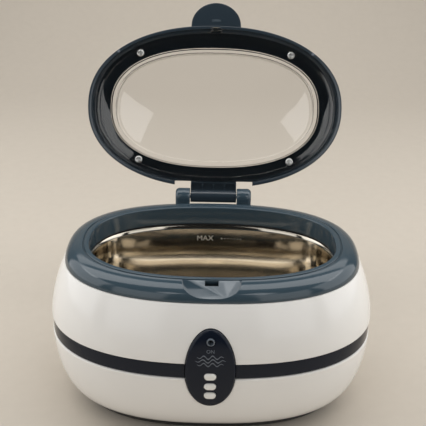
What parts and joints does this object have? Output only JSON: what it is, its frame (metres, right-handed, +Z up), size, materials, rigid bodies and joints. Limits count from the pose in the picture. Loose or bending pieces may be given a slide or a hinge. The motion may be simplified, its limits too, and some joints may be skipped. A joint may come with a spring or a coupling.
{
  "type": "ultrasonic cleaner",
  "caption": "Oval bench-top ultrasonic cleaner with a drawn steel tank, hinged windowed lid, front key panel and a mains inlet at the back.",
  "frame": {"origin": "middle of the whole object's box with the lid open, at the level of the bench under the feet", "axes": "+Z up, -Y out of the control panel at the front, X along the length"},
  "size_m": [0.2068, 0.1994, 0.233],
  "materials": {
    "black_abs": "fine matt moulded",
    "black_gloss_abs": "high gloss moulded",
    "black_insulation": "extruded PVC",
    "black_rubber": "matt",
    "blue_insulation": "extruded PVC",
    "brass_sheet": "rolled",
    "brown_insulation": "extruded PVC",
    "capacitor_sleeve": "shrink sleeve",
    "cast_aluminium": "turned",
    "circuit_board": "solder resist",
    "clear_polycarbonate": "clear polished",
    "enamelled_copper": "enamelled wire",
    "ferrite": "pressed ferrite",
    "film_capacitor_case": "dipped epoxy",
    "fuse_glass": "clear",
    "grey_insulation": "extruded PVC",
    "key_abs": "satin moulded",
    "led_epoxy": "dark gloss",
    "piezo_ceramic": "fired ceramic",
    "plated_steel": "zinc plated",
    "red_insulation": "extruded PVC",
    "slate_abs": "satin gloss moulded",
    "smoked_lens": "smoked gloss",
    "stainless_steel": "drawn and polished",
    "white_abs": "glossy moulded"
  },
  "bodies": {
    "cleaner_body": {"base_plate": "black_abs", "lower_housing": "white_abs", "upper_housing": "white_abs", "band_ring": "black_gloss_abs", "collar": "slate_abs", "tank": "stainless_steel", "tank_gasket": "black_rubber", "hinge_pin": "plated_steel", "panel_cover": "black_gloss_abs", "indicator_lens": "smoked_lens", "indicator_led": "led_epoxy", "control_board": "circuit_board", "driver_board": "circuit_board", "front_mass": "cast_aluminium", "piezo_ring_upper": "piezo_ceramic", "piezo_ring_lower": "piezo_ceramic", "electrode_plate": "brass_sheet", "tail_mass": "plated_steel", "clamping_bolt": "plated_steel", "transformer_core": "ferrite", "transformer_winding": "enamelled_copper", "heat_sink": "cast_aluminium", "power_transistor": "black_abs", "bulk_capacitor": "capacitor_sleeve", "film_capacitor": "film_capacitor_case", "fuse": "fuse_glass", "inlet_housing": "black_abs", "inlet_pin_left": "plated_steel", "inlet_pin_right": "plated_steel", "transducer_lead_live": "red_insulation", "transducer_lead_return": "black_insulation", "mains_lead_live": "brown_insulation", "mains_lead_neutral": "blue_insulation", "control_lead": "grey_insulation", "foot_left_front": "black_rubber", "case_screw_left_front": "plated_steel", "foot_right_front": "black_rubber", "case_screw_right_front": "plated_steel", "foot_left_rear": "black_rubber", "case_screw_left_rear": "plated_steel", "foot_right_rear": "black_rubber", "case_screw_right_rear": "plated_steel", "tact_switch_on": "plated_steel", "tact_switch_timer": "plated_steel", "tact_switch_off": "plated_steel"},
    "lid": {"lid_frame": "slate_abs", "lid_window": "clear_polycarbonate", "lid_bumper_left": "black_rubber", "lid_bumper_right": "black_rubber", "lid_screw_left_front": "plated_steel", "lid_screw_right_front": "plated_steel", "lid_screw_left_rear": "plated_steel", "lid_screw_right_rear": "plated_steel"},
    "key_on": {"key_on": "key_abs", "switch_plunger_on": "black_abs"},
    "key_timer": {"key_timer": "key_abs", "switch_plunger_timer": "black_abs"},
    "key_off": {"key_off": "key_abs", "switch_plunger_off": "black_abs"}
  },
  "joints": [
    {"name": "lid_hinge", "type": "hinge", "parent": "cleaner_body", "child": "lid", "pos_m": [0, 0.0382, 0.111], "axis": [1, 0, 0], "range_deg": [0, 115.6]},
    {"name": "key_on_press", "type": "slide", "parent": "cleaner_body", "child": "key_on", "axis": [0, 1, 0], "range_m": [0, 0.0008], "stiffness_N_per_m": 300, "springref_m": -0.0006},
    {"name": "key_timer_press", "type": "slide", "parent": "cleaner_body", "child": "key_timer", "axis": [0, 1, 0], "range_m": [0, 0.0008], "stiffness_N_per_m": 300, "springref_m": -0.0006},
    {"name": "key_off_press", "type": "slide", "parent": "cleaner_body", "child": "key_off", "axis": [0, 1, 0], "range_m": [0, 0.0008], "stiffness_N_per_m": 300, "springref_m": -0.0006}
  ]
}
